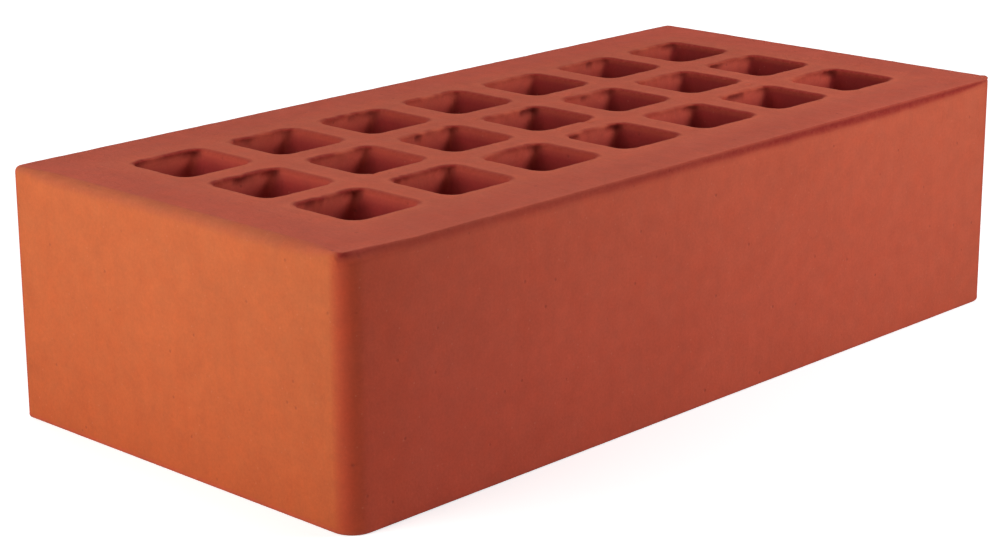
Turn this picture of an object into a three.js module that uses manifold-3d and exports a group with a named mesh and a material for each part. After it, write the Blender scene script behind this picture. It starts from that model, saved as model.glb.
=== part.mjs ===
// A perforated clay facing brick: one extruded, wire-cut and fired piece.
// Millimetres, +Z up. The origin is at the centre of the lower bed, +X runs along the length and
// the facing stretcher, with its two rounded corners, looks along -Y.
import * as THREE from "three";
import { mergeVertices } from "three/addons/utils/BufferGeometryUtils.js";
import Module from "manifold-3d";

// Driving dimensions, in millimetres.
const LENGTH = 250; // along X, header to header
const WIDTH = 120; // along Y, stretcher to stretcher
const HEIGHT = 65; // along Z, between the two wire-cut beds
const FACE_CORNER_RADIUS = 6; // the two upright corners of the facing stretcher
const BACK_CORNER_RADIUS = 2.5; // the two upright corners of the backing stretcher
const BED_EDGE_ROUNDING = 1.6; // all round both beds, where the smooth sides meet the cut faces
const HOLE_LENGTH = 21; // one perforation along X
const HOLE_WIDTH = 20.5; // one perforation along Y
const HOLE_CORNER_RADIUS = 3; // the upright corners inside a perforation
const HOLE_RIM_BEVEL = 0.8; // the worn rim where a perforation meets a bed
const COLUMN_WEB = 10; // clay between two perforations of a row
const ROW_WEB = 9; // clay between two rows
const LEAST_OUTER_WALL = 20; // clay that the perforations leave at the outside of the brick

// How finely the round stretches are faceted.
const CORNER_STEPS = 8; // steps in a quarter turn of an upright outer corner
const HOLE_CORNER_STEPS = 4; // steps in a quarter turn inside a perforation
const ROUNDING_STEPS = 3; // steps in the rounding of a bed edge
const ARC_DIVISIONS = 2; // three.js gives an arc this many steps for each of its curveSegments
const CUT_OVERRUN = 1; // how far a cutting tool runs past the face that it cuts

const wasm = await Module();
wasm.setup();

// A closed three.js geometry as a manifold-3d solid: only the positions are kept and shared.
function solidOf(geometry) {
  const bare = geometry.clone();
  bare.deleteAttribute("normal");
  bare.deleteAttribute("uv");
  const merged = mergeVertices(bare, 1e-4);
  return new wasm.Manifold(
    new wasm.Mesh({
      numProp: 3,
      vertProperties: merged.attributes.position.array,
      triVerts: new Uint32Array(merged.index.array),
    }),
  );
}

// A manifold-3d solid as a three.js geometry with flat facets.
function geometryOf(solid) {
  const mesh = solid.getMesh();
  const shared = new THREE.BufferGeometry();
  shared.setAttribute("position", new THREE.BufferAttribute(mesh.vertProperties, mesh.numProp));
  shared.setIndex(new THREE.BufferAttribute(mesh.triVerts, 1));
  const faceted = shared.toNonIndexed();
  faceted.computeVertexNormals();
  return faceted;
}

// A rectangle centred on the origin, with one radius for its two -Y corners and one for its +Y ones.
function roundedRectangle(length, width, frontRadius, backRadius) {
  const most = Math.min(length, width) / 2;
  const front = Math.min(frontRadius, most);
  const back = Math.min(backRadius, most);
  const x = length / 2;
  const y = width / 2;
  const outline = new THREE.Shape();
  outline.moveTo(-x + front, -y);
  outline.lineTo(x - front, -y);
  outline.absarc(x - front, -y + front, front, -Math.PI / 2, 0);
  outline.lineTo(x, y - back);
  outline.absarc(x - back, y - back, back, 0, Math.PI / 2);
  outline.lineTo(-x + back, y);
  outline.absarc(-x + back, y - back, back, Math.PI / 2, Math.PI);
  outline.lineTo(-x, -y + front);
  outline.absarc(-x + front, -y + front, front, Math.PI, Math.PI * 1.5);
  outline.closePath();
  return outline;
}

// The outside of the brick: the die's outline drawn up to the height, its bed edges rounded.
function makeBlock() {
  const rounding = Math.min(BED_EDGE_ROUNDING, BACK_CORNER_RADIUS * 0.95, HEIGHT / 4);
  const outline = roundedRectangle(LENGTH, WIDTH, FACE_CORNER_RADIUS, BACK_CORNER_RADIUS);
  const block = new THREE.ExtrudeGeometry(outline, {
    depth: HEIGHT - 2 * rounding,
    curveSegments: CORNER_STEPS / ARC_DIVISIONS,
    bevelEnabled: true,
    bevelThickness: rounding,
    bevelSize: rounding,
    bevelOffset: -rounding,
    bevelSegments: ROUNDING_STEPS,
  });
  block.translate(0, 0, rounding);
  return solidOf(block);
}

// One perforation's cutter, centred on the Z axis. Its bevel is a negative one: between the beds it
// has the perforation's size, and from the foot of each rim bevel it widens at 45 degrees, past the bed.
function makeHoleCutter() {
  const flare = HOLE_RIM_BEVEL + CUT_OVERRUN;
  const outline = roundedRectangle(HOLE_LENGTH, HOLE_WIDTH, HOLE_CORNER_RADIUS, HOLE_CORNER_RADIUS);
  const cutter = new THREE.ExtrudeGeometry(outline, {
    depth: HEIGHT - 2 * HOLE_RIM_BEVEL,
    curveSegments: HOLE_CORNER_STEPS / ARC_DIVISIONS,
    bevelEnabled: true,
    bevelThickness: flare,
    bevelSize: -flare,
    bevelOffset: flare,
    bevelSegments: 1,
  });
  cutter.translate(0, 0, HOLE_RIM_BEVEL);
  return solidOf(cutter);
}

// How many perforations fit in a span, and where their centres lie, evenly about the middle.
function holeCentres(span, hole, web) {
  const pitch = hole + web;
  const count = Math.max(1, Math.floor((span - 2 * LEAST_OUTER_WALL + web) / pitch));
  return Array.from({ length: count }, (_, i) => (i - (count - 1) / 2) * pitch);
}

function makeBrick() {
  const cutter = makeHoleCutter();
  let brick = makeBlock();
  for (const y of holeCentres(WIDTH, HOLE_WIDTH, ROW_WEB)) {
    for (const x of holeCentres(LENGTH, HOLE_LENGTH, COLUMN_WEB)) {
      brick = brick.subtract(cutter.translate([x, y, 0]));
    }
  }
  const firedClay = new THREE.MeshStandardMaterial({ color: 0xb25a40, roughness: 0.9, metalness: 0 });
  const mesh = new THREE.Mesh(geometryOf(brick), firedClay);
  mesh.name = "brick";
  return mesh;
}

const part = new THREE.Group();
part.add(makeBrick());

export default part;
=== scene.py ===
"""A perforated clay facing brick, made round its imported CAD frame.

The brick is one closed skin, put together from rings of points: one patch of them round each
perforation, from the upper bed down the bore to the lower bed, and one patch round the outside.
All shapes are worked out in millimetres, in the frame's own axes, and the mesh is in metres.
"""

import math

import bpy
import numpy as np
from mathutils import Matrix, Vector


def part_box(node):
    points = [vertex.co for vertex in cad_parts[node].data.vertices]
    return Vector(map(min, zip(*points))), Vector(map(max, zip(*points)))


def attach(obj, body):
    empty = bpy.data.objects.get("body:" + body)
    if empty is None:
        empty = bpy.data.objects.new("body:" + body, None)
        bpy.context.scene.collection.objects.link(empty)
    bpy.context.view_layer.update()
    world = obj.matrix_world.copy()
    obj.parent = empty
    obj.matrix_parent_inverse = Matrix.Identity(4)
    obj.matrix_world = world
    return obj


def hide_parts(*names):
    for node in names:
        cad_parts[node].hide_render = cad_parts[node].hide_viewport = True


bl_info = {
    "name": "Perforated Clay Brick",
    "version": (1, 0, 0),
    "blender": (4, 5, 0),
    "location": "View3D > Sidebar > Clay Brick",
    "description": "Builds a fired, perforated facing brick and the studio round it",
    "category": "Add Mesh",
}

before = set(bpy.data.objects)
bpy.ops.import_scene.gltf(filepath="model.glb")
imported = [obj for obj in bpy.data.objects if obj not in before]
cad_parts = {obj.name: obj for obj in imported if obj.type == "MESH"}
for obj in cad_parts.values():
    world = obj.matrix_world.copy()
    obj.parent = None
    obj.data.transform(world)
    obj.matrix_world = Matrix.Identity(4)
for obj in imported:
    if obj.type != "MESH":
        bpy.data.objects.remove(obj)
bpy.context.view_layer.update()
BRICK_LOW, BRICK_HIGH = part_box("brick")

MM = 0.001
LENGTH = (BRICK_HIGH.x - BRICK_LOW.x) / MM
WIDTH = (BRICK_HIGH.y - BRICK_LOW.y) / MM
HEIGHT = (BRICK_HIGH.z - BRICK_LOW.z) / MM

# The perforations: seven along the brick and three across it, evenly about the middle.
HOLE_COLUMNS = 7
HOLE_ROWS = 3
COLUMN_PITCH = 31.0
ROW_PITCH = 29.5

SHARP = (0.0,) * 4  # the corner radii of an outline that has none

# How finely the skin is divided.
POINTS_PER_TILE_SIDE = 32  # points along one side of the tile of clay round a perforation
HOLE_ARC_POINTS = 4  # points in half of a perforation's corner
OUTER_ARC_POINTS = 8  # points in half of an outer upright corner

# Shares of the way over the bed, from a tile's outline to the start of the perforation's rim.
TILE_SHARES = (0.0, 0.22, 0.44, 0.64, 0.82, 0.94)
LOWER_TILE_SHARES = (0.8, 0.4, 0.0)
# Shares of the way over the margin, from the tiles' outline to the start of the outer edge.
MARGIN_SHARES = (0.0, 0.2, 0.4, 0.58, 0.74, 0.87, 0.95, 0.985)
LOWER_MARGIN_SHARES = (0.97, 0.8, 0.45, 0.0)
# Shares of the way down the face, from the upper edge's last row to the lower edge's first.
FACE_SHARES = (0.006, 0.02, *np.linspace(0.05, 0.95, 15), 0.985)
# Shares of the quarter circle of an edge's rounding, from the bed to the face and the other way.
UPPER_EDGE_STEPS = (0.0, 0.2, 0.4, 0.6, 0.8, 1.0)
LOWER_EDGE_STEPS = (0.0, 0.34, 0.67, 1.0)

# A rim's rows, as flare and depth in millimetres: flare is how far the row stands back from the
# bore's wall into the clay, and depth is how far it lies below the bed.
SMOOTH_RIM = ((1.9, 0.0), (1.05, 0.14), (0.5, 0.46), (0.17, 0.95), (0.04, 1.5), (0.0, 2.1))
DRAGGED_RIM = ((1.6, 0.0), (0.98, 0.06), (0.5, 0.2), (0.16, 0.5), (0.1, 0.95), (0.08, 1.45))
TIGHT_RIM = ((1.6, 0.0), (0.98, 0.08), (0.48, 0.28), (0.16, 0.62), (0.1, 1.15), (0.1, 1.8))
# How far a point has to look along an axis to be of the next kind, from not at all to fully.
RIM_TURN = (0.35, 0.85)
DARK_PIT_TURN = (0.3, 0.6)
FRONT_TURN = (0.3, 0.48)
HEADER_TURN = (0.1, 0.6)
BACK_TURN = (0.0, 0.4)
# Below the rim the wall's rows lie at these depths, with this share left of the last row's flare.
WALL_DEPTHS = (2.5, 3.3, 4.8, 8.5, 16.0, 28.0, 44.0, 62.0)
WALL_HOLLOW = (0.7, 0.35, 0.1, 0.0, 0.0, 0.0, 0.0, 0.0)
# The lower rim's rows, as flare and height above the lower bed, and the shares that they all have.
LOWER_RIM = ((0.0, 0.9), (0.12, 0.45), (0.45, 0.12), (0.9, 0.0))
# The lower rim's bore share is painted shade.
LOWER_RIM_BORE, LOWER_RIM_BED, LOWER_RIM_LEVEL, LOWER_RIM_SHEER = 0.6, 0.4, 0.6, 0.3

# How far the dragged rims are torn, in millimetres.
LIP_SWING = 0.5  # the ragged lip's swing, into the bore and back
CRUMB_LOSS = 1.1  # the most that crumbs take from the lip
TEAR_DEPTH = 0.4  # the hollow torn in the wall under the lip
# The tear's share along the whole rim, more of it at the rim's ends, and its most.
TEAR_ALONG, TEAR_AT_ENDS, TEAR_MOST = 0.12, 0.55, 1.2
# How strong a thing is: its mean, its swing with its noise and, where it isn't 0, its least.
CRUMB_STRENGTH = (-0.1, 1.0)
FAR_BITE_STRENGTH = (0.75, 0.9, 0.3)
NEAR_BITE_STRENGTH = (0.7, 0.9, 0.3)
BLOT_STRENGTH = (-0.8, 3.5)
NEAR_BITE, NEAR_BITE_LOSS = 0.6, 0.8  # the near bite's share, and what the right bores lose of it
BLOT_PIT = 0.8  # how much of a pit a blot is
BITE_TEAR = 1.3  # how much a bite or a blot adds to the tear
# Where on a rim things lie, as shares of half the perforation's length from its middle.
TORN_END_SPAN = (0.45, 0.95)
FAR_BITE_SPAN = (0.35, 0.7)
NEAR_BITE_SPAN = (0.0, 0.75)
DARK_PIT_SPAN = (0.66, 0.88)

# How dark the dragged rims are painted, torn clay and the painted shade under the lip together:
# the mean, the swing with the lip and the tear, and the limits.
TORN_MEAN, TORN_SWING, TORN_TEAR = 0.72, 1.3, 0.4
TORN_LEAST, TORN_MOST = 0.08, 1.15
TORN_LOSS = 0.35  # how much of it the right bores lose
TIGHT_RIM_SHADE, TIGHT_RIM_SHADE_MORE = 0.75, 0.35  # painted shade on the tight rims at the left, and what the right add
SHADED, SHADED_MORE = 0.46, 0.36  # how much painted bore shade the tight walls have, in the same way
SHADED_DEPTHS = (0.2, 1.8)
DARK_PIT, DARK_BLOT = 0.5, 0.4  # how much painted pit shade a bite and a blot have
DRAGGED_BED_LOSS = 0.9  # how much of the bed's colour a dragged rim loses

# Noises, each as its size in millimetres, its layers and its seed.
LIP_NOISE = (5.0, 3, 11)
CRUMB_NOISE = (2.3, 2, 23)
TEAR_NOISE = (3.4, 2, 31)
FAR_BITE_NOISE = (21.0, 1, 53)
NEAR_BITE_NOISE = (27.0, 1, 59)
BLOT_NOISE = (4.0, 1, 47)
BAND_NOISE = (9.0, 4, 41)
BED_WAVE_NOISE = (19.0, 2, 3)
BED_GRAIN_NOISE = (2.4, 2, 7)
FACE_WAVE_NOISE = (23.0, 2, 5)
BORE_GRAIN_NOISE = (2.8, 2, 9)
CRUMBLE_NOISE = (1.7, 2, 13)
DIE_LINE_NOISE = (1.0, 2, 17)
DIE_LINE_SCALE = (0.55, 0.55, 0.012)  # much longer down the face than across it
TEAR_SHIFT, BLOT_SHIFT = 70.0, 150.0  # how far away these noises are read, in millimetres

# How deep the unevenness goes, in millimetres.
BED_SINK = 0.05
BED_GRAIN_SINK = 0.06
FACE_WAVE = 0.09
DIE_LINE = 0.025
BORE_GRAIN = 0.14
TORN_CRUMBLE = 0.34

# Shares down a perforation: depths below the bed in millimetres, and the share at each.
LIP_DOWN = ((0.0, 0.8, 2.1, 4.2), (1.0, 0.85, 0.3, 0.0))
TEAR_DOWN = ((0.0, 0.5, 1.2, 2.2, 4.0, 7.0), (0.0, 0.35, 1.0, 0.9, 0.3, 0.0))
# The torn share paints torn clay and, with it, the shade under the lip.
RIM_TORN_DOWN = ((0.0, 0.07, 0.24, 0.55, 1.0, 1.5, 2.4), (0.25, 0.85, 1.0, 0.8, 0.4, 0.15, 0.0))
PIT_TORN_DOWN = ((0.1, 0.3, 0.6, 1.3, 2.2), (0.0, 0.7, 1.0, 0.8, 0.0))
# Painted shade in the corner pits.
PIT_DOWN = ((0.2, 0.6, 1.2, 2.2, 3.2), (0.0, 0.8, 1.0, 0.6, 0.0))
# The bore's share is painted shade that grows with depth.
BORE_DOWN = ((1.2, 3.0, 5.0, 8.0), (0.0, 0.35, 0.75, 1.0))
# Painted light just below the rim.
MOUTH_DOWN = ((0.3, 1.0, 3.0, 6.5, 11.0), (0.0, 1.0, 0.85, 0.35, 0.1))
LEVEL_DOWN = ((0.0, 1.0, 4.0), (1.0, 0.8, 0.0))
SHEER_DOWN = ((0.0, 1.6), (0.0, 1.0))
BED_DOWN = ((0.0, 1.0), (1.0, 0.0))
# Painted highlight at the top of the rim.
HIGHLIGHT_DOWN = ((0.0, 0.3, 0.9), (0.9, 0.5, 0.0))
# The same down a face, below the upper bed.
FACE_LEVEL_DOWN = ((1.0, 6.0), (0.6, 0.0))

# How much painted highlight the bed has on the rows of a tile, and on the rows of the margin
# beside the tiles and beside a dragged edge.
TILE_HIGHLIGHT = (0.55, 0.55, 0.6, 0.75, 0.9, 1.0)
MARGIN_HIGHLIGHT = (0.55, 0.25, 0.08, 0.0, 0.0, 0.0, 0.0, 0.0)
DRAGGED_MARGIN_HIGHLIGHT = (0.0, 0.0, 0.0, 0.0, 0.05, 0.15, 0.3, 0.35)

# The torn band along the upper front edge, as shares of its height: inset from the face, and drop
# below the bed. The bed's own edge stands a little over a shallow groove.
DRAGGED_EDGE = ((0.18, 0.0), (0.05, 0.07), (0.09, 0.3), (0.13, 0.55), (0.08, 0.78), (0.0, 1.0))
# Places along the brick, in millimetres from its middle, and there the band's height.
BAND_ALONG = (
    (-124, -122, -117, -60, 40, 85, 105, 122),
    (1.15, 0.95, 0.85, 0.95, 1.05, 1.12, 0.9, 0.4),
)
# The same for how dark it is painted: torn clay and the painted shade under the bed's edge.
TORN_ALONG = ((-124.4, -123.2, -121, -105, -60, 40), (1.05, 0.95, 0.8, 0.53, 0.57, 1.02))
# How dark the band's rows are painted, torn clay and painted shade together, along the front and
# round the left front corner, and how much more the first row is at the right.
BAND_TORN = (0.2, 0.55, 0.9, 1.0, 0.85, 0.45)
CORNER_BAND_TORN = (0.45, 0.95, 0.95, 0.65, 0.4, 0.15)
FIRST_ROW_MORE = 0.25
BAND_SWING = 0.13  # how much its height swings with its noise
TORN_ALONG_SWING = 0.12
FAR_END_TORN = 0.35  # how much of its painted darkness it keeps at the far right
SOFT_LOSS = 0.5  # how much of its rounding the header's edge loses at the front corner
# How much of the bed's colour the upper edge's first row has, what the header's has more, and how
# fast it goes over the edge.
EDGE_BED, HEADER_EDGE_BED, EDGE_BED_FALL = 0.85, 0.25, 1.3
BESIDE_CORNER = 0.4  # how much of the corner's painted shade the front has beside its left corner
LOOKS_FORWARD = -0.7  # the normal's part along Y, below which a point counts as the front's
ARRIS_LOSS = 0.65  # how much of its tone the arris loses towards the front

# Spans along the brick, in millimetres from its middle, over which something sets in.
NEAR_BITE_FADE = (-80.0, 10.0)
TORN_FADE = (-80.0, 20.0)
TIGHT_RIM_SHADE_SPAN = (-60.0, 60.0)
SHADED_SPAN = (-80.0, 80.0)
CORNERING_SPAN = (-102.0, -118.0)
BESIDE_CORNER_SPAN = (-98.0, -117.0)
FIRST_ROW_SPAN = (-30.0, 50.0)
FAR_END_SPAN = (124.5, 112.0)
# Spans across the brick, on the header's edge.
BROAD_FROM_FRONT = (-59.0, -46.0)
BROAD_TO_BACK = (44.0, 56.0)
SOFT_FADE = (-48.0, -58.0)
ARRIS_FADE = (-30.0, -57.0)

# How much of the arris' tone the upper edge's rows have at an end face.
ARRIS_ROWS = (0.5, 0.8, 0.95, 0.9, 0.6, 0.3)
# How dark the face's first row is painted with torn clay and shade, under the upper edge, and how
# much of the arris' tone it has.
FACE_FIRST_TORN, FACE_FIRST_ARRIS = 0.18, 0.12

# The shares that the outer edges' rows have: how fast the upper one's level falls, how much painted
# highlight its first row has, and what the lower one's rows have.
EDGE_LEVEL_FALL, EDGE_HIGHLIGHT = 0.4, 0.3
LOWER_EDGE_BED, LOWER_EDGE_LEVEL, LOWER_EDGE_SHEER, LOWER_EDGE_FACE = 0.2, 0.3, 0.5, 0.5

# The line that the bed's edge takes across the left front corner, from a point on the corner's
# round to one on the front, and how much of that cut each row of the torn band takes.
CUT_ACROSS = ((-123.9, -57.4), (-104.0, -60.0))
CUT_SHARES = (1.0, 0.85, 0.5, 0.25, 0.1, 0.0)

# The shares that the skin carries for its finish, each from 0 to 1. Six of them paint light and
# shade, as their names say.
SHARES = ("torn_and_shade", "bed", "bore_shade", "worn", "header", "corner", "arris", "mouth_light", "pit_shade")

# Small pits left where the wire caught a grain: x, y, radius and depth in millimetres.
BED_PITS = (
    (-5.8, -13.0, 1.1, 0.9),
    (5.9, -12.6, 1.2, 1.0),
    (27.2, 13.7, 1.3, 1.1),
    (-11.6, 11.6, 1.1, 0.9),
    (-70.6, -12.4, 1.0, 0.8),
    (-88.4, -45.2, 0.9, 0.7),
    (-45.0, 15.2, 0.9, 0.6),
    (70.5, -15.1, 0.8, 0.6),
    (99.0, 45.5, 0.8, 0.5),
    (-21.0, 48.0, 0.8, 0.5),
    (112.0, -22.0, 0.7, 0.5),
)

# Points that share a cell of this grid, in millimetres, are one point. The grid is set a little off
# the round numbers that the outlines lie on.
MERGE_CELL = 0.002
MERGE_OFFSET = 0.000317

# Lamps: name, azimuth, elevation, distance from the brick and size in metres, and colour. Azimuth 0
# stands in front of the stretcher, and -90 in front of the left header.
KEY_LAMP = ("key_lamp", -95.0, 19.0, 0.36, 0.16, (1.0, 0.98, 0.93))
FRONT_LAMP = ("front_lamp", 30.0, 34.0, 0.385, 0.13, (1.0, 0.94, 0.96))
TOP_LAMP = ("top_lamp", 170.0, 62.0, 0.7, 0.3, (0.97, 1.0, 1.04))
LAMP_TARGET = Vector((0.0, 0.0, 0.03))

# The camera: its place in metres, what it has to its right and above, and its lens in millimetres.
CAMERA_PLACE = (-0.470253, -0.433488, 0.209562)
CAMERA_RIGHT = (0.699915, -0.714169, -0.009029)
CAMERA_UP = (0.204062, 0.187842, 0.960767)
CAMERA_LENS = 89.68
CAMERA_SENSOR = 36.0
CAMERA_SHIFT = (0.042, -0.013)

FLOOR_REACH = 6.0  # metres from the brick to each side of the floor
GLOW_FROM, GLOW_TO = 0.14, 0.5  # metres from the brick's middle: the floor's glow grows between
LEAST_GLOW = 0.6
UNDER_BRICK = 0.45  # share of the brick's length and width, to each side, without any glow
WHITE = (1.0, 1.0, 1.0, 1.0)

# A noise node's values lie between these for the most part.
NOISE_SPAN = (0.3, 0.7)
# What the clay's colour is multiplied by at the two ends of its swing in hue.
REDDER = (1.0, 0.955, 0.93, 1.0)
YELLOWER = (1.0, 1.045, 1.07, 1.0)
SPECK_CORE = 0.4  # share of a speck's size that it fills fully
BUMP_STRENGTH = 0.6
BUMP_DISTANCE = 0.00035  # metres


# ---- Shapes ----


def ease(low, high, value):
    """0 below low, 1 above high, and between them three times the square less twice the cube."""
    t = np.clip((value - low) / (high - low), 0.0, 1.0)
    return t * t * (3.0 - 2.0 * t)


def lattice_noise(points, seed):
    """Smooth noise from -1 to 1: each corner of a unit lattice gets a fixed number from its whole
    coordinates and the seed, and a point blends its eight corners with eased shares."""
    cell = np.floor(points).astype(np.int64)
    part = points - cell
    share = part * part * (3.0 - 2.0 * part)
    total = np.zeros(points.shape[:-1])
    for dx in (0, 1):
        for dy in (0, 1):
            for dz in (0, 1):
                x, y, z = cell[..., 0] + dx, cell[..., 1] + dy, cell[..., 2] + dz
                h = (x * 73856093) ^ (y * 19349663) ^ (z * 83492791) ^ (seed * 2654435761)
                h = (h ^ (h >> 13)) & 0xFFFFFFFF
                h = (h * 1274126177 + 1013904223) & 0xFFFFFFFF
                h = (h ^ (h >> 16)) & 0xFFFF
                weight = (
                    np.where(dx, share[..., 0], 1.0 - share[..., 0])
                    * np.where(dy, share[..., 1], 1.0 - share[..., 1])
                    * np.where(dz, share[..., 2], 1.0 - share[..., 2])
                )
                total += weight * (h / 32767.5 - 1.0)
    return total


def layered_noise(points, size, layers, seed):
    """Lattice noise at a size in millimetres, plus finer layers, each half the size and half the
    height of the one before it."""
    total = np.zeros(points.shape[:-1])
    height, reach = 1.0, 0.0
    for layer in range(layers):
        total += height * lattice_noise(points * (2.0**layer / size), seed + layer)
        reach += height
        height *= 0.5
    return total / reach


def outline(half_x, half_y, radii, counts, arc_points):
    """A rectangle with rounded corners, anticlockwise from the middle of its (-x, -y) corner.

    Along a side, the turn of the outline's normal goes from -45 degrees to 0 over the first arc
    points, stays 0 on the straight, and goes to 45 degrees over the last ones. A point lies at the
    straight's own run plus radius times the sine of the turn along the side, and at radius times
    one less the cosine of the turn inside it. Gives the points and their outward normals."""
    points, normals = [], []
    for side in range(4):
        angle = side * math.pi / 2
        along = np.array((math.cos(angle), math.sin(angle)))
        outward = np.array((math.sin(angle), -math.cos(angle)))
        half_run, half_across = (half_x, half_y) if side % 2 == 0 else (half_y, half_x)
        start_radius, end_radius = radii[side], radii[(side + 1) % 4]
        count = counts[side % 2]
        j = np.arange(count, dtype=float)
        if arc_points:
            stops = (0, arc_points, count - arc_points, count)
            turn = np.interp(j, stops, (-1, 0, 0, 1)) * math.pi / 4
        else:
            turn = np.zeros(count)
        radius = np.where(turn < 0, start_radius, end_radius)
        straight = (-half_run + start_radius, half_run - end_radius)
        run = np.interp(j, (arc_points, count - arc_points), straight) + radius * np.sin(turn)
        across = half_across - radius * (1.0 - np.cos(turn))
        points.append(run[:, None] * along + across[:, None] * outward)
        normals.append(np.cos(turn)[:, None] * outward + np.sin(turn)[:, None] * along)
    return np.concatenate(points), np.concatenate(normals)


def stacked(values):
    """One number for each row, ready to spread over the row's points."""
    return np.array(values)[:, None]


def ring_faces(row_count, ring_count, flipped):
    """Quads between each ring and the next one, closed round the ring."""
    r = np.arange(row_count - 1)[:, None] * ring_count
    c = np.arange(ring_count)[None, :]
    n = (c + 1) % ring_count
    quads = np.stack((r + c, r + n, r + ring_count + n, r + ring_count + c), axis=-1).reshape(-1, 4)
    return quads[:, ::-1] if flipped else quads


def swung(points, noise, mean, swing, least=0.0, most=1.0):
    """A mean plus a swing with the noise, kept between least and most."""
    return np.clip(mean + swing * layered_noise(points, *noise), least, most)


def torn_rims(sizes, hole, centre, dragged):
    """How the dragged rim of each perforation is torn, for each point round it: its places, its
    raggedness, how far the lip stands back in millimetres, the tear under it, the bite in its far
    corner, its blots, and its bites and blots together.

    The lip hangs into the bore in places and is torn back in others, as one noise less the crumbs
    of a finer one. Where the wire came out it left a bite in the far corner, and a lesser one in
    the near corner of the left bores, each as strong as a slow noise of the bore's middle says.
    Blots are the peaks of a noise along the lip."""
    to_far_end = hole[:, 0] / (sizes["hole_length"] / 2)
    at = centre + hole
    run = np.concatenate((at, np.zeros_like(at[..., :1])), axis=-1)
    middle = np.concatenate((centre, np.zeros_like(centre[..., :1])), axis=-1)

    ragged = layered_noise(run, *LIP_NOISE)
    crumbs = swung(run, CRUMB_NOISE, *CRUMB_STRENGTH)
    lip = sizes["lip_raggedness"] * dragged * (LIP_SWING * ragged - CRUMB_LOSS * crumbs)
    ends = ease(*TORN_END_SPAN, np.abs(to_far_end))
    tear = layered_noise(run + TEAR_SHIFT, *TEAR_NOISE) + TEAR_ALONG + TEAR_AT_ENDS * ends
    tear = np.clip(tear, 0.0, TEAR_MOST)

    far_bite = ease(*FAR_BITE_SPAN, to_far_end) * swung(middle, FAR_BITE_NOISE, *FAR_BITE_STRENGTH)
    near_bite = swung(middle, NEAR_BITE_NOISE, *NEAR_BITE_STRENGTH)
    near_bite = NEAR_BITE * (ease(*NEAR_BITE_SPAN, -to_far_end) * near_bite)
    near_bite = near_bite * (1.0 - NEAR_BITE_LOSS * ease(*NEAR_BITE_FADE, at[..., 0]))
    blots = swung(run + BLOT_SHIFT, BLOT_NOISE, *BLOT_STRENGTH)
    pits = np.maximum(np.maximum(far_bite, near_bite), BLOT_PIT * blots) * dragged
    tear = (tear + BITE_TEAR * np.maximum(far_bite, blots)) * dragged * sizes["lip_raggedness"]
    return at, ragged, lip, tear, far_bite, blots, pits


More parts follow.
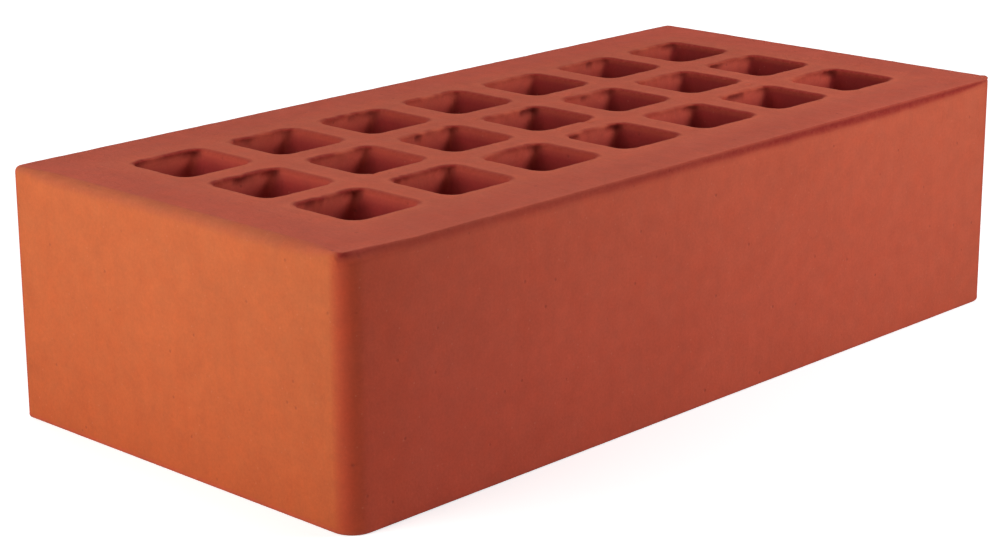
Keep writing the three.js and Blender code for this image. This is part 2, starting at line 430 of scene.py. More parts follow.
def bore_patches(sizes):
    """The skin round each perforation: over the upper bed, round the rim, down the bore and out
    over the lower bed to the tile's outline again, as rows x points x 3 for each perforation."""
    half_x, half_y = sizes["hole_length"] / 2, sizes["hole_width"] / 2
    counts = (POINTS_PER_TILE_SIDE, POINTS_PER_TILE_SIDE)
    tile, _ = outline(COLUMN_PITCH / 2, ROW_PITCH / 2, SHARP, counts, 0)
    radii = (sizes["hole_corner_radius"],) * 4
    hole, normal = outline(half_x, half_y, radii, counts, HOLE_ARC_POINTS)
    column = (np.arange(HOLE_COLUMNS) - (HOLE_COLUMNS - 1) / 2) * COLUMN_PITCH
    row = (np.arange(HOLE_ROWS) - (HOLE_ROWS - 1) / 2) * ROW_PITCH
    centre = np.stack(np.meshgrid(column, row), axis=-1).reshape(-1, 1, 2)
    count, points = centre.shape[0], hole.shape[0]

    # Each point's rim: dragged on the side that the wire left by, tight beside it, else smooth.
    dragged = ease(*RIM_TURN, normal[:, 1])
    tight = ease(*RIM_TURN, normal[:, 0])
    blend = np.stack((1.0 - dragged - tight, dragged, tight))
    rims = np.array((SMOOTH_RIM, DRAGGED_RIM, TIGHT_RIM))
    flare, depth = np.einsum("kp,krc->crp", blend, rims)
    flare = np.concatenate((flare, stacked(WALL_HOLLOW) * flare[-1]))
    depth = np.concatenate((depth, np.repeat(stacked(WALL_DEPTHS), points, axis=1)))

    at, ragged, lip, tear, far_bite, blots, pits = torn_rims(sizes, hole, centre, dragged)
    lip_share = np.interp(depth, *LIP_DOWN)
    tear_share = np.interp(depth, *TEAR_DOWN)
    stand_back = flare[None] + lip[:, None] * lip_share[None]
    stand_back = stand_back + TEAR_DEPTH * tear[:, None] * tear_share[None]

    wall_xy = at[:, None] + normal[None, None] * stand_back[..., None]
    tile_xy = (centre + tile)[:, None]
    bed_xy = tile_xy + (wall_xy[:, :1] - tile_xy) * np.array(TILE_SHARES)[None, :, None, None]
    lower_xy = at[:, None] + np.array(LOWER_RIM)[:, 0][:, None, None] * normal[None]
    lower_shares = np.array(LOWER_TILE_SHARES)[None, :, None, None]
    lower_bed_xy = tile_xy + (lower_xy[:, -1:] - tile_xy) * lower_shares
    stretches = (bed_xy, wall_xy, lower_xy, lower_bed_xy)
    xy = np.concatenate(stretches, axis=1)
    ones = [np.ones((stretch.shape[1], points)) for stretch in stretches]
    lower_z = np.array(LOWER_RIM)[:, 1:] * ones[2]
    z = np.concatenate((HEIGHT * ones[0], HEIGHT - depth, lower_z, 0.0 * ones[3]))
    rows = np.concatenate((xy, np.broadcast_to(z, (count, *z.shape))[..., None]), axis=-1)

    def spread(*parts):
        """A share's values on the four stretches of rows, the same for every perforation."""
        one_bore = np.concatenate([part * one for part, one in zip(parts, ones)])
        return np.broadcast_to(one_bore, rows.shape[:-1]).copy()

    along = at[..., 0]
    # The dragged rims' painted darkness: torn clay and the shade under the lip, less of it at the
    # right bores.
    torn_and_shade_here = np.clip(TORN_MEAN + TORN_SWING * ragged + TORN_TEAR * tear, TORN_LEAST, TORN_MOST)
    torn_and_shade_here = torn_and_shade_here * (1.0 - TORN_LOSS * ease(*TORN_FADE, along)) * dragged
    # Painted shade on the tight rims, more of it at the right.
    torn_and_shade_here += tight * (TIGHT_RIM_SHADE + TIGHT_RIM_SHADE_MORE * ease(*TIGHT_RIM_SHADE_SPAN, along))
    torn_and_shade = spread(0.0, np.interp(depth, *RIM_TORN_DOWN), 0.0, 0.0) * torn_and_shade_here[:, None]
    torn_and_shade = np.maximum(torn_and_shade, spread(0.0, np.interp(depth, *PIT_TORN_DOWN), 0.0, 0.0) * pits[:, None])
    # Painted shade: deep bore colour on the tight walls, more of it at the right.
    shaded = tight * (SHADED + SHADED_MORE * ease(*SHADED_SPAN, along))
    # The bore colour paints shade that grows down the bore.
    bore_shade = spread(0.0, np.interp(depth, *BORE_DOWN), LOWER_RIM_BORE, 0.0)
    bore_shade[:, len(TILE_SHARES) : -len(LOWER_RIM) - len(LOWER_TILE_SHARES)] += (
        shaded[:, None] * ease(*SHADED_DEPTHS, depth)
    )
    # Painted shade in the far corners' bites and in the blots along the lip.
    far_corner = ease(*DARK_PIT_SPAN, hole[:, 0] / half_x) * ease(*DARK_PIT_TURN, normal[:, 1])
    dark_pits = far_corner * np.clip(DARK_PIT * far_bite, 0.0, 1.0) + DARK_BLOT * blots * dragged
    bed_down = np.interp(depth, *BED_DOWN) * (1.0 - DRAGGED_BED_LOSS * dragged)
    return {
        "rows": rows,
        "push": np.broadcast_to(normal, rows[..., :2].shape),
        "level": spread(1.0, np.interp(depth, *LEVEL_DOWN), LOWER_RIM_LEVEL, 1.0),
        "sheer": spread(0.0, np.interp(depth, *SHEER_DOWN), LOWER_RIM_SHEER, 0.0),
        "torn_and_shade": torn_and_shade,
        "bed": spread(1.0, bed_down, LOWER_RIM_BED, 1.0),
        "bore_shade": np.minimum(bore_shade, 1.0),
        "worn": spread(stacked(TILE_HIGHLIGHT), np.interp(depth, *HIGHLIGHT_DOWN), 0.0, 0.0),
        "mouth_light": spread(0.0, np.interp(depth, *MOUTH_DOWN), 0.0, 0.0),
        "pit_shade": spread(0.0, np.interp(depth, *PIT_DOWN), 0.0, 0.0) * dark_pits[:, None],
    }


def skin_patch(sizes):
    """The outside: over the upper margin, round the upper edge, down the face, round the lower
    edge and in over the lower margin. An edge's row lies a share of the way through a quarter
    circle, or follows the torn band's own profile, blended by how far the edge is dragged."""
    counts = (HOLE_COLUMNS * POINTS_PER_TILE_SIDE, HOLE_ROWS * POINTS_PER_TILE_SIDE)
    inner, _ = outline(HOLE_COLUMNS * COLUMN_PITCH / 2, HOLE_ROWS * ROW_PITCH / 2, SHARP, counts, 0)
    front, back = sizes["front_corner_radius"], sizes["back_corner_radius"]
    radii = (front, front, back, back)
    outer, normal = outline(LENGTH / 2, WIDTH / 2, radii, counts, OUTER_ARC_POINTS)
    flat = np.concatenate((outer, np.zeros_like(outer[:, :1])), axis=-1)
    (along, over), (to_right, to_back) = outer.T, normal.T

    # The upper edge: torn into a narrow band along the front, and softly rounded elsewhere.
    dragged = ease(*FRONT_TURN, -to_back)
    header = ease(*HEADER_TURN, -to_right) * (1.0 - dragged) * (1.0 - ease(*BACK_TURN, to_back))
    ragged = layered_noise(flat, *BAND_NOISE)
    band = sizes["dragged_edge"] * np.interp(along, *BAND_ALONG) * (1.0 + BAND_SWING * ragged)
    broad = header * ease(*BROAD_FROM_FRONT, over) * (1.0 - ease(*BROAD_TO_BACK, over))
    soft = sizes["upper_edge_rounding"]
    soft = soft + (sizes["header_edge_rounding"] - soft) * broad
    soft = soft * (1.0 - SOFT_LOSS * header * ease(*SOFT_FADE, over))
    steps = stacked(UPPER_EDGE_STEPS)
    turn = steps * math.pi / 2
    band_in, band_down = np.array(DRAGGED_EDGE).T[:, :, None]
    inset = soft * (1.0 - np.sin(turn)) * (1.0 - dragged) + band * band_in * dragged
    drop = soft * (1.0 - np.cos(turn)) * (1.0 - dragged) + band * band_down * dragged

    # At the left the bed's edge takes the corner straight, a little inside the face's round one.
    (x0, y0), (x1, y1) = CUT_ACROSS
    beyond = ((over - y0) * (x0 - x1) - (along - x0) * (y0 - y1)) / math.hypot(x1 - x0, y1 - y0)
    cut = np.clip(beyond, 0.0, None) * (along > x0) * (along < x1) * (over < 0.0)
    inset = inset + cut * stacked(CUT_SHARES)

    lower = sizes["lower_edge_rounding"]
    low_turn = stacked(LOWER_EDGE_STEPS) * math.pi / 2
    low_inset = lower * (1.0 - np.cos(low_turn)) * np.ones_like(soft)
    low_height = lower * (1.0 - np.sin(low_turn)) * np.ones_like(soft)
    face_top = HEIGHT - drop[-1]
    face_z = face_top + (lower - face_top) * stacked(FACE_SHARES)

    edge_xy = outer[None] - normal[None] * inset[..., None]
    upper_xy = inner[None] + (edge_xy[:1] - inner[None]) * np.array(MARGIN_SHARES)[:, None, None]
    low_xy = outer[None] - normal[None] * low_inset[..., None]
    lower_shares = np.array(LOWER_MARGIN_SHARES)[:, None, None]
    lower_xy = inner[None] + (low_xy[-1:] - inner[None]) * lower_shares
    face_xy = np.broadcast_to(outer[None], (face_z.shape[0], *outer.shape))
    stretches = (upper_xy, edge_xy, face_xy, low_xy, lower_xy)
    xy = np.concatenate(stretches)
    ones = [np.ones((len(stretch), outer.shape[0])) for stretch in stretches]
    z = np.concatenate((HEIGHT * ones[0], HEIGHT - drop, face_z, low_height, 0.0 * ones[4]))
    rows = np.concatenate((xy, z[..., None]), axis=-1)[None]

    def spread(*parts):
        """A share's values on the five stretches of rows."""
        return np.concatenate([part * one for part, one in zip(parts, ones)])[None]

    # The torn band's painted darkness: torn clay and the shade under the bed's edge.
    cornering = ease(*CORNERING_SPAN, along) * dragged
    band_torn = stacked(BAND_TORN)
    band_torn = band_torn + cornering * (stacked(CORNER_BAND_TORN) - band_torn)
    band_torn[0] += FIRST_ROW_MORE * ease(*FIRST_ROW_SPAN, along)
    torn_along = np.interp(along, *TORN_ALONG) + TORN_ALONG_SWING * ragged
    whole = FAR_END_TORN + (1.0 - FAR_END_TORN) * ease(*FAR_END_SPAN, along)
    edge_torn = band_torn * dragged * torn_along * whole
    first_row = (np.arange(len(FACE_SHARES)) == 0)[:, None]
    face_torn = FACE_FIRST_TORN * first_row * dragged
    end_face = to_right**2
    # The corner share paints shade on the upright corners' rounds, and on the front beside its left
    # corner.
    turning = 2.0 * np.abs(to_right * to_back)
    beside_corner = BESIDE_CORNER * ease(*BESIDE_CORNER_SPAN, along) * (to_back < LOOKS_FORWARD)
    turning = np.maximum(turning, beside_corner)
    arris = header * (1.0 - ARRIS_LOSS * ease(*ARRIS_FADE, over))
    edge_arris, face_arris = stacked(ARRIS_ROWS) * arris, FACE_FIRST_ARRIS * first_row * arris
    edge_bed = np.clip(EDGE_BED + HEADER_EDGE_BED * header - EDGE_BED_FALL * steps, 0.0, 1.0)
    # Painted highlight on the margin, round the tiles and beside the dragged edge.
    margin_worn = stacked(DRAGGED_MARGIN_HIGHLIGHT) * dragged + stacked(MARGIN_HIGHLIGHT)
    face_level = np.interp(HEIGHT - face_z, *FACE_LEVEL_DOWN)
    return {
        "rows": rows,
        "push": np.broadcast_to(-normal, rows[..., :2].shape),
        "level": spread(1.0, 1.0 - EDGE_LEVEL_FALL * steps, face_level, LOWER_EDGE_LEVEL, 1.0),
        "sheer": spread(0.0, steps, 1.0, LOWER_EDGE_SHEER, 0.0),
        "torn_and_shade": spread(0.0, edge_torn, face_torn, 0.0, 0.0),
        "bed": spread(1.0, edge_bed, 0.0, LOWER_EDGE_BED, 1.0),
        "worn": spread(margin_worn, EDGE_HIGHLIGHT * (1.0 - steps) * dragged, 0.0, 0.0, 0.0),
        "header": spread(0.0, steps * end_face, end_face, LOWER_EDGE_FACE * end_face, 0.0),
        "corner": spread(0.0, steps * turning, turning, LOWER_EDGE_FACE * turning, 0.0),
        "arris": spread(0.0, edge_arris, face_arris, 0.0, 0.0),
    }


def pressed(patch, amount):
    """A patch with its unevenness pressed in, in millimetres. A bed sinks by slow waves, small
    grain and the pits, each a bell curve of the distance to its middle. A wall gives way along its
    own normal by slow waves, by die lines that run down the faces, by grain in the bores, and by
    coarse crumbs where the clay is torn. The sheer and level shares blend the two round an edge."""
    rows, torn_and_shade, bore_shade = patch["rows"], patch["torn_and_shade"], patch.get("bore_shade", 0.0)
    upper = rows[..., 2] > HEIGHT / 2
    on_bed = rows.copy()
    on_bed[..., 2] = np.where(upper, HEIGHT, 0.0)
    sink = BED_SINK + BED_SINK * layered_noise(on_bed, *BED_WAVE_NOISE)
    sink = sink + BED_GRAIN_SINK + BED_GRAIN_SINK * layered_noise(on_bed, *BED_GRAIN_NOISE)
    for x, y, radius, deep in BED_PITS:
        apart = np.hypot(rows[..., 0] - x, rows[..., 1] - y) / radius
        sink = sink + upper * deep * np.exp(-(apart**2))
    slow, grain, coarse, lines = (
        0.5 + 0.5 * layered_noise(rows * np.array(scale), *noise)  # from 0 to 1
        for scale, noise in (
            (1.0, FACE_WAVE_NOISE),
            (1.0, BORE_GRAIN_NOISE),
            (1.0, CRUMBLE_NOISE),
            (DIE_LINE_SCALE, DIE_LINE_NOISE),
        )
    )
    give = FACE_WAVE * slow + (1.0 - bore_shade) * DIE_LINE * lines
    give = give + bore_shade * BORE_GRAIN * grain + torn_and_shade * TORN_CRUMBLE * coarse
    made = rows.copy()
    made[..., :2] += patch["push"] * (amount * give * patch["sheer"])[..., None]
    made[..., 2] += np.where(upper, -1.0, 1.0) * amount * sink * patch["level"]
    return made


def merged(points, quads, values):
    """One skin from patches that share their outlines: points that fall in the same small box of a
    grid become one point. Gives the points, the quads and the values of the kept points."""
    key = np.floor((points + MERGE_OFFSET) / MERGE_CELL).astype(np.int64)
    _, first, where = np.unique(key, axis=0, return_index=True, return_inverse=True)
    return points[first], where.reshape(-1)[quads], {n: v[first] for n, v in values.items()}


def brick_skin(sizes):
    """All patches of the brick, pressed in and merged, with the shares that its colours follow. A
    share that a patch doesn't state is 0 on it."""
    points, quads, offset = [], [], 0
    values = {name: [] for name in SHARES}
    for patch, flipped in ((bore_patches(sizes), False), (skin_patch(sizes), True)):
        shaped = pressed(patch, sizes["relief"])
        copies, row_count, ring_count = shaped.shape[:3]
        starts = offset + np.arange(copies)[:, None, None] * row_count * ring_count
        quads.append((ring_faces(row_count, ring_count, flipped)[None] + starts).reshape(-1, 4))
        points.append(shaped.reshape(-1, 3))
        for name, kept in values.items():
            share = patch.get(name, np.zeros(shaped.shape[:3]))
            kept.append(share.reshape(-1))
        offset += copies * row_count * ring_count
    values = {n: np.concatenate(v) for n, v in values.items()}
    return merged(np.concatenate(points), np.concatenate(quads), values)


def mesh_object(name, points, quads, values):
    """A smooth-shaded mesh object at the origin, from points in millimetres."""
    mesh = bpy.data.meshes.new(name)
    mesh.vertices.add(len(points))
    mesh.vertices.foreach_set("co", (points * MM).astype(np.float32).ravel())
    mesh.loops.add(quads.size)
    mesh.loops.foreach_set("vertex_index", quads.astype(np.int32).ravel())
    mesh.polygons.add(len(quads))
    mesh.polygons.foreach_set("loop_start", np.arange(0, quads.size, 4, dtype=np.int32))
    mesh.polygons.foreach_set("use_smooth", np.ones(len(quads), dtype=bool))
    mesh.update(calc_edges=True)
    mesh.validate()
    for label, value in values.items():
        attribute = mesh.attributes.new(label, "FLOAT", "POINT")
        attribute.data.foreach_set("value", np.clip(value, 0.0, 1.0).astype(np.float32))
    made = bpy.data.objects.new(name, mesh)
    bpy.context.scene.collection.objects.link(made)
    return made


# ---- Finishes ----


class NodeBench:
    """Short words for putting a node tree together."""

    def __init__(self, tree):
        self.tree = tree

    def node(self, kind, fed=None, **settings):
        made = self.tree.nodes.new(kind)
        for key, value in settings.items():
            setattr(made, key, value)
        for name, value in (fed or {}).items():
            self.feed(made.inputs[name], value)
        return made

    def feed(self, socket, value):
        if isinstance(value, bpy.types.NodeSocket):
            self.tree.links.new(value, socket)
        else:
            socket.default_value = value

    def math(self, operation, *values, clamp=False):
        fed = dict(enumerate(values))
        return self.node("ShaderNodeMath", fed, operation=operation, use_clamp=clamp).outputs[0]

    def stretch(self, value, low, high, out_low=0.0, out_high=1.0):
        fed = dict(enumerate((value, low, high, out_low, out_high)))
        return self.node("ShaderNodeMapRange", fed, clamp=True).outputs[0]

    def scaled(self, vector, scale):
        return self.node("ShaderNodeMapping", {"Vector": vector, "Scale": scale}).outputs[0]

    def noise(self, vector, scale, detail, roughness=0.5):
        fed = {"Vector": vector, "Scale": scale, "Detail": detail, "Roughness": roughness}
        return self.node("ShaderNodeTexNoise", fed).outputs["Fac"]

    def specks(self, vector, scale, size):
        """1 in the middle of each scattered speck and 0 beyond size, in cells."""
        cells = self.node("ShaderNodeTexVoronoi", {"Vector": vector, "Scale": scale})
        return self.stretch(cells.outputs["Distance"], size, SPECK_CORE * size)

    def mix(self, share, a, b, blend="MIX"):
        fed = {0: share, 6: a, 7: b}  # 6, 7 and the output 2 are the node's colours
        return self.node("ShaderNodeMix", fed, data_type="RGBA", blend_type=blend).outputs[2]

    def toned(self, colour, tone):
        """The colour multiplied by a tone."""
        grey = self.node("ShaderNodeCombineColor", dict.fromkeys(range(3), tone)).outputs[0]
        return self.mix(1.0, colour, grey, "MULTIPLY")

    def where(self, share, swing):
        """1 plus a swing that is as strong as the share says."""
        return self.math("MULTIPLY_ADD", swing, share, 1.0)

    def axes(self, vector):
        return self.node("ShaderNodeSeparateXYZ", {0: vector}).outputs

    def attribute(self, name):
        return self.node("ShaderNodeAttribute", attribute_name=name).outputs["Fac"]


def bare(data, output):
    """A bench on the empty node tree of a material or world, and the surface it has to fill."""
    data.use_nodes = True
    data.node_tree.nodes.clear()
    bench = NodeBench(data.node_tree)
    return bench, bench.node(output).inputs["Surface"]


def fired_clay_material(clay):
    """Matt fired clay, with light and shade painted into several of its colours. All scales are
    per millimetre of Object coordinates.
    """
    material = bpy.data.materials.new("fired_clay")
    bench, surface = bare(material, "ShaderNodeOutputMaterial")
    place = bench.node("ShaderNodeTexCoord").outputs["Object"]
    mm = bench.scaled(place, (1000.0, 1000.0, 1000.0))
    torn_and_shade, bed, bore_shade, worn, header, corner, arris, mouth_light, pit_shade = (bench.attribute(n) for n in SHARES)
    face = bench.math("SUBTRACT", 1.0, bench.math("ADD", bed, bore_shade, clamp=True), clamp=True)

    clouds = bench.noise(mm, scale=0.028, detail=3.0, roughness=0.55)
    mottle = bench.noise(mm, scale=0.22, detail=5.0, roughness=0.62)
    grain = bench.noise(mm, scale=1.5, detail=3.0, roughness=0.6)
    hues = bench.noise(mm, scale=0.16, detail=4.0, roughness=0.65)
    crumbs = bench.noise(mm, scale=0.9, detail=3.0, roughness=0.6)
    pores = bench.noise(mm, scale=0.75, detail=6.0, roughness=0.62)
    down_face, over_bed = (bench.scaled(mm, s) for s in ((0.7, 0.7, 0.018), (0.9, 0.05, 0.9)))
    die_lines = bench.noise(down_face, scale=1.0, detail=4.0, roughness=0.6)
    wire_lines = bench.noise(over_bed, scale=1.0, detail=4.0, roughness=0.6)
    dark_specks = bench.specks(mm, scale=0.16, size=0.085)
    pale_specks = bench.specks(mm, scale=0.33, size=0.1)

    run, across, rise = bench.axes(mm)
    to_right = bench.stretch(run, -LENGTH / 2, LENGTH / 2)
    to_back_right = bench.math("MULTIPLY", to_right, bench.stretch(across, -WIDTH / 2, WIDTH / 2))
    # Painted light: the stretchers' colour shifts from left to right and towards their top,
    # standing in for how the lamps fall on them.
    painted_light_drift = bench.math("MULTIPLY", to_right, 0.7)
    painted_light_drift = bench.math("ADD", painted_light_drift, bench.stretch(rise, 0.35 * HEIGHT, HEIGHT, 0.0, 0.3))
    side = bench.mix(painted_light_drift, clay["body"], clay["body_far"])
    # The ends' colour differs in hue from the sides' and so in part paints how the key lamp lights
    # them.
    end = bench.mix(bench.stretch(rise, 0.0, 0.8 * HEIGHT), clay["header_low"], clay["header"])
    colour = bench.mix(header, side, end)
    # Painted shade on the upright corners.
    colour = bench.mix(corner, colour, clay["corner"])
    # The beds: partly the wire-cut clay's own colour, partly painted sheen, and painted light that
    # is darker at the front right and lighter at the back right.
    bed_colour = bench.mix(to_right, clay["bed"], clay["bed_near"])
    bed_colour = bench.mix(to_back_right, bed_colour, clay["bed_far"])
    colour = bench.mix(bed, colour, bed_colour)
    # Painted highlight round the rims and along the front edge.
    colour = bench.mix(worn, colour, clay["worn"])
    colour = bench.mix(arris, colour, clay["arris"])
    # Painted light just below the rims.
    colour = bench.mix(mouth_light, colour, clay["mouth_light"])
    # Painted shade deep in the bores.
    colour = bench.mix(bore_shade, colour, clay["bore_shade"])
    # The tone swings a few per cent with each noise, and the hue with one of them.
    colour = bench.toned(colour, bench.stretch(clouds, *NOISE_SPAN, 0.97, 1.03))
    fired = bench.mix(bench.stretch(hues, *NOISE_SPAN), REDDER, YELLOWER)
    colour = bench.mix(1.0, colour, fired, "MULTIPLY")
    colour = bench.toned(colour, bench.stretch(mottle, 0.32, 0.7, 0.95, 1.07))
    tone = bench.stretch(grain, 0.25, 0.75, 0.94, 1.06)
    lines = bench.where(face, bench.stretch(die_lines, *NOISE_SPAN, -0.01, 0.01))
    drags = bench.where(bed, bench.stretch(wire_lines, *NOISE_SPAN, -0.025, 0.025))
    colour = bench.toned(colour, bench.math("MULTIPLY", tone, bench.math("MULTIPLY", lines, drags)))
    colour = bench.mix(bench.math("MULTIPLY", dark_specks, 0.25), colour, clay["speck"])
    colour = bench.mix(bench.math("MULTIPLY", pale_specks, 0.17), colour, clay["grit"])
    broken = bench.stretch(crumbs, *NOISE_SPAN, 0.8, 1.05)
    # Torn clay, and painted shade under the lips and along the front edge.
    colour = bench.mix(bench.math("MULTIPLY", torn_and_shade, broken, clamp=True), colour, clay["torn_and_shade"])
    # Painted shade in the corner bites and blots.
    colour = bench.mix(bench.math("MULTIPLY", pit_shade, broken, clamp=True), colour, clay["pit_shade"])

    rough = bench.stretch(mottle, *NOISE_SPAN, 0.84, 0.94)
    rough = bench.math("ADD", rough, bench.math("MULTIPLY", bed, 0.05), clamp=True)

    # The finest relief: pores, stronger on cut and torn clay, and the die's and the wire's lines.
    open_grain = bench.math("MULTIPLY_ADD", bench.math("ADD", bed, torn_and_shade, clamp=True), 0.7, 0.4)
    die_relief = bench.math("MULTIPLY", die_lines, bench.math("MULTIPLY", face, 0.09))
    wire_relief = bench.math("MULTIPLY", wire_lines, bench.math("MULTIPLY", bed, 0.25))
    height = bench.math("MULTIPLY", pores, open_grain)
    height = bench.math("ADD", height, die_relief)
    height = bench.math("ADD", height, wire_relief)
    height = bench.math("SUBTRACT", height, bench.math("MULTIPLY", dark_specks, 0.5))
    relief = {"Strength": BUMP_STRENGTH, "Distance": BUMP_DISTANCE, "Height": height}
    bump = bench.node("ShaderNodeBump", relief).outputs[0]

    finish = {"Base Color": colour, "Roughness": rough, "Specular IOR Level": 0.25, "Normal": bump}
    bench.feed(surface, bench.node("ShaderNodeBsdfPrincipled", finish).outputs[0])
    return material


def floor_material(colour):
    """A pale matt floor. For the camera alone it glows a little beside its own shade, so that it
    reads white and keeps the brick's soft shadow. The glow grows from near the brick outwards, and
    there is none under the brick, where the floor shows through the perforations."""
    material = bpy.data.materials.new("pale_floor")
    bench, surface = bare(material, "ShaderNodeOutputMaterial")
    matt = bench.node("ShaderNodeBsdfDiffuse", {"Color": (*colour, 1.0)}).outputs[0]
    place = bench.node("ShaderNodeTexCoord").outputs["Object"]
    far = bench.node("ShaderNodeVectorMath", {0: place}, operation="LENGTH").outputs["Value"]
    lift = bench.stretch(far, GLOW_FROM, GLOW_TO, LEAST_GLOW, 1.0)
    run, across, _ = bench.axes(place)
    beside = [
        bench.math("GREATER_THAN", bench.math("ABSOLUTE", way), UNDER_BRICK * size * MM)
        for way, size in ((run, LENGTH), (across, WIDTH))
    ]
    lift = bench.math("MULTIPLY", lift, bench.math("MAXIMUM", *beside))
    seen = bench.node("ShaderNodeLightPath").outputs["Is Camera Ray"]
    light = {"Color": WHITE, "Strength": bench.math("MULTIPLY", seen, lift)}
    glow = bench.node("ShaderNodeEmission", light).outputs[0]
    bench.feed(surface, bench.node("ShaderNodeAddShader", {0: matt, 1: glow}).outputs[0])
    return material


# ---- What a user may change ----


def length_setting(name, text, millimetres):
    return bpy.props.FloatProperty(
        name=name, description=text, default=millimetres * MM, min=0.0, precision=5, unit="LENGTH"
    )


def colour_setting(name, text, rgb):
    return bpy.props.FloatVectorProperty(
        name=name, description=text, default=rgb, min=0.0, max=1.0, size=3, subtype="COLOR"
    )


def number_setting(name, text, value, low=0.0, high=1000.0):
    return bpy.props.FloatProperty(name=name, description=text, default=value, min=low, max=high)


class ClayBrickSizes(bpy.types.PropertyGroup):
    """Sizes of the brick. Its length, width and height are the frame's."""

    hole_length: length_setting("Hole length", "One perforation along the brick", 21.0)
    hole_width: length_setting("Hole width", "One perforation across the brick", 20.5)
    hole_corner_radius: length_setting("Hole corner radius", "Corners inside a perforation", 3.0)
    front_corner_radius: length_setting("Front corner radius", "The two upright front corners", 6.0)
    back_corner_radius: length_setting("Back corner radius", "The two upright back corners", 2.5)
    upper_edge_rounding: length_setting("Upper edge rounding", "Upper edge, back and right", 1.6)
    header_edge_rounding: length_setting("Header edge rounding", "Upper edge of the left end", 2.7)
    dragged_edge: length_setting("Dragged edge", "Height of the front edge's torn band", 2.3)
    lower_edge_rounding: length_setting("Lower edge rounding", "All round the lower bed", 0.6)
    lip_raggedness: number_setting("Lip raggedness", "How torn the dragged rims are", 0.9, 0.0, 3.0)
    relief: number_setting("Relief", "How strong the clay's own unevenness is", 1.0, 0.0, 3.0)


PLAIN_NUMBERS = ("lip_raggedness", "relief")  # settings that are not lengths


class ClayColours(bpy.types.PropertyGroup):
    """Colours of the fired clay, several of them painted light and shade."""

    # The stretchers' two colours paint how the lamps fall along them.
    body: colour_setting("Body", "Stretchers at the left", (0.57, 0.0855, 0.046))
    body_far: colour_setting("Far body", "Stretchers at the right", (0.535, 0.1105, 0.0525))
    header: colour_setting("Header", "End faces, above", (0.54, 0.124, 0.041))
    header_low: colour_setting("Lower header", "End faces, below", (0.54, 0.107, 0.0325))
    # Painted shade on the upright corners.
    corner: colour_setting("Corner", "Upright corners", (0.505, 0.0685, 0.0275))
    arris: colour_setting("Arris", "Upper edge of the end faces", (0.44, 0.106, 0.044))
    # Painted highlight round the rims and along the front edge.
    worn: colour_setting("Worn", "Rubbed clay round the rims", (0.575, 0.121, 0.065))
    # Partly the beds' own colour, partly painted sheen and painted light over the bed.
    bed: colour_setting("Bed", "Wire-cut beds at the left", (0.517, 0.0975, 0.056))
    bed_near: colour_setting("Near bed", "Wire-cut beds at the front right", (0.478, 0.092, 0.053))
    bed_far: colour_setting("Far bed", "Wire-cut beds at the back right", (0.635, 0.114, 0.069))
    # Painted light just below the rims.
    mouth_light: colour_setting("Mouth", "Perforations just below the rims", (0.63, 0.108, 0.065))
    # Painted shade deep in the perforations.
    bore_shade: colour_setting("Bore", "Deep in the perforations", (0.34, 0.031, 0.028))
    # Torn clay, and painted shade under the torn lips and the front edge.
    torn_and_shade: colour_setting("Torn", "Rough edges that the wire tore", (0.29, 0.021, 0.0145))
    # Painted shade in the pits of the perforations' corners.
    pit_shade: colour_setting("Pit", "Pits in the perforations' corners", (0.10, 0.013, 0.010))
    speck: colour_setting("Speck", "Burnt specks", (0.16, 0.035, 0.025))
    grit: colour_setting("Grit", "Pale grains of sand", (0.70, 0.30, 0.18))


class BrickStudio(bpy.types.PropertyGroup):
    """The floor and the lamps."""

    floor_colour: colour_setting("Floor", "Matt floor", (0.77, 0.80, 0.80))
    key_power: number_setting("Key lamp", "Lamp at the left, in watts", 0.555)
    front_power: number_setting("Front lamp", "Lamp at the right front, in watts", 0.735)
    top_power: number_setting("Top lamp", "Lamp overhead, in watts", 1.24)
    sky_strength: number_setting("Sky", "Strength of the even light all round", 0.14, 0.0, 10.0)


# ---- Operators ----


class CLAYBRICK_OT_brick(bpy.types.Operator):
    """Build the fired brick over its CAD node"""

    bl_idname = "claybrick.brick"
    bl_label = "Fired Brick"
    bl_options = {"REGISTER", "UNDO"}

    def execute(self, context):
        group = context.scene.clay_brick_sizes
        sizes = {n: getattr(group, n) for n in ClayBrickSizes.__annotations__}
        sizes = {n: v if n in PLAIN_NUMBERS else v / MM for n, v in sizes.items()}
        brick = mesh_object("fired_brick", *brick_skin(sizes))
        colours = context.scene.clay_brick_colours
        clay = {n: (*getattr(colours, n), 1.0) for n in ClayColours.__annotations__}
        brick.data.materials.append(fired_clay_material(clay))
        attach(brick, "root")
        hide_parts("brick")
        return {"FINISHED"}


def from_brick(azimuth, elevation, distance):
    """A place at that distance: sine of the azimuth along X and minus its cosine along Y, both
    times the elevation's cosine, and the elevation's sine along Z."""
    a, e = math.radians(azimuth), math.radians(elevation)
    away = Vector((math.sin(a) * math.cos(e), -math.cos(a) * math.cos(e), math.sin(e)))
    return LAMP_TARGET + away * distance


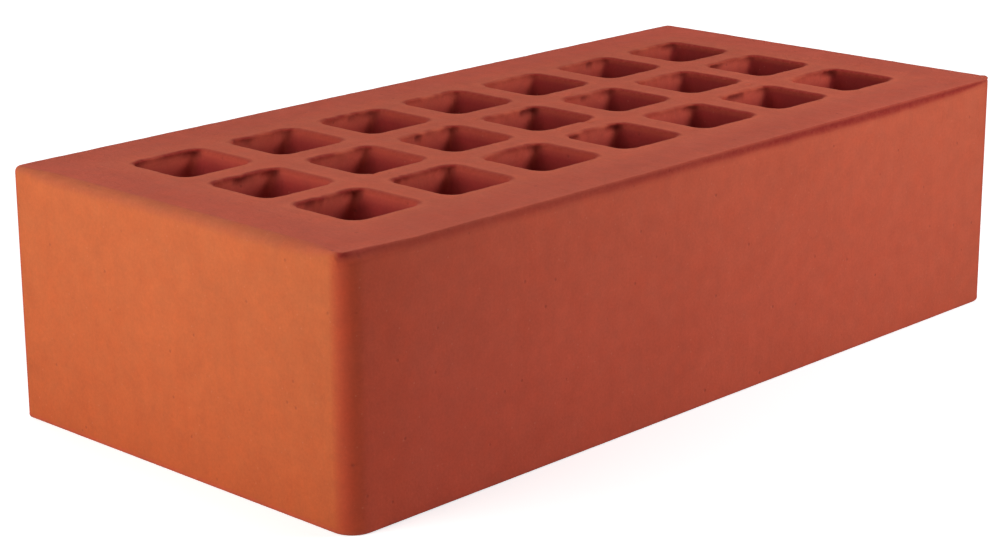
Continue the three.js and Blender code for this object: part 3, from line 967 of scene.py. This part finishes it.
class CLAYBRICK_OT_studio(bpy.types.Operator):
    """Build the floor, the lamps, the sky and the camera"""

    bl_idname = "claybrick.studio"
    bl_label = "Studio"
    bl_options = {"REGISTER", "UNDO"}

    def execute(self, context):
        scene = context.scene
        studio = scene.clay_brick_studio
        signs = ((-1, -1), (1, -1), (1, 1), (-1, 1))
        corners = [(FLOOR_REACH * x, FLOOR_REACH * y, 0.0) for x, y in signs]
        mesh = bpy.data.meshes.new("floor")
        mesh.from_pydata(corners, [], [(0, 1, 2, 3)])
        floor = bpy.data.objects.new("floor", mesh)
        scene.collection.objects.link(floor)
        mesh.materials.append(floor_material(tuple(studio.floor_colour)))

        powers = (studio.key_power, studio.front_power, studio.top_power)
        for lamp, power in zip((KEY_LAMP, FRONT_LAMP, TOP_LAMP), powers):
            name, azimuth, elevation, distance, size, colour = lamp
            place = from_brick(azimuth, elevation, distance)
            light = bpy.data.lights.new(name, "AREA")
            light.shape = "SQUARE"
            light.size = size
            light.energy = power
            light.color = colour
            made = bpy.data.objects.new(name, light)
            made.location = place
            made.rotation_euler = (LAMP_TARGET - place).to_track_quat("-Z", "Y").to_euler()
            scene.collection.objects.link(made)

        world = bpy.data.worlds.new("studio_sky")
        bench, surface = bare(world, "ShaderNodeOutputWorld")
        seen = bench.node("ShaderNodeLightPath").outputs["Is Camera Ray"]
        strength = bench.stretch(seen, 0.0, 1.0, studio.sky_strength, 1.0)
        sky = bench.node("ShaderNodeBackground", {"Color": WHITE, "Strength": strength})
        bench.feed(surface, sky.outputs[0])
        scene.world = world

        camera = bpy.data.cameras.new("camera")
        camera.lens = CAMERA_LENS
        camera.sensor_width = CAMERA_SENSOR
        camera.shift_x, camera.shift_y = CAMERA_SHIFT
        eye = bpy.data.objects.new("camera", camera)
        right = Vector(CAMERA_RIGHT).normalized()
        up = Vector(CAMERA_UP)
        up = (up - right * up.dot(right)).normalized()
        turn = Matrix((right, up, right.cross(up))).transposed()
        eye.matrix_world = Matrix.Translation(CAMERA_PLACE) @ turn.to_4x4()
        scene.collection.objects.link(eye)
        scene.camera = eye
        scene.view_settings.view_transform = "Standard"
        return {"FINISHED"}


class CLAYBRICK_PT_panel(bpy.types.Panel):
    """Settings and buttons in the 3D view's sidebar"""

    bl_idname = "CLAYBRICK_PT_panel"
    bl_label = "Clay Brick"
    bl_space_type = "VIEW_3D"
    bl_region_type = "UI"
    bl_category = "Clay Brick"

    def draw(self, context):
        layout = self.layout
        for title, group in (
            ("Sizes", context.scene.clay_brick_sizes),
            ("Colours", context.scene.clay_brick_colours),
            ("Studio", context.scene.clay_brick_studio),
        ):
            box = layout.box()
            box.label(text=title)
            for name in group.__annotations__:
                box.prop(group, name)
        layout.operator(CLAYBRICK_OT_brick.bl_idname)
        layout.operator(CLAYBRICK_OT_studio.bl_idname)


CLASSES = (
    ClayBrickSizes,
    ClayColours,
    BrickStudio,
    CLAYBRICK_OT_brick,
    CLAYBRICK_OT_studio,
    CLAYBRICK_PT_panel,
)


def register():
    for made in CLASSES:
        bpy.utils.register_class(made)
    bpy.types.Scene.clay_brick_sizes = bpy.props.PointerProperty(type=ClayBrickSizes)
    bpy.types.Scene.clay_brick_colours = bpy.props.PointerProperty(type=ClayColours)
    bpy.types.Scene.clay_brick_studio = bpy.props.PointerProperty(type=BrickStudio)


def unregister():
    del bpy.types.Scene.clay_brick_studio
    del bpy.types.Scene.clay_brick_colours
    del bpy.types.Scene.clay_brick_sizes
    for made in reversed(CLASSES):
        bpy.utils.unregister_class(made)


def main():
    register()
    bpy.ops.claybrick.studio()
    bpy.ops.claybrick.brick()


if __name__ == "__main__":
    main()
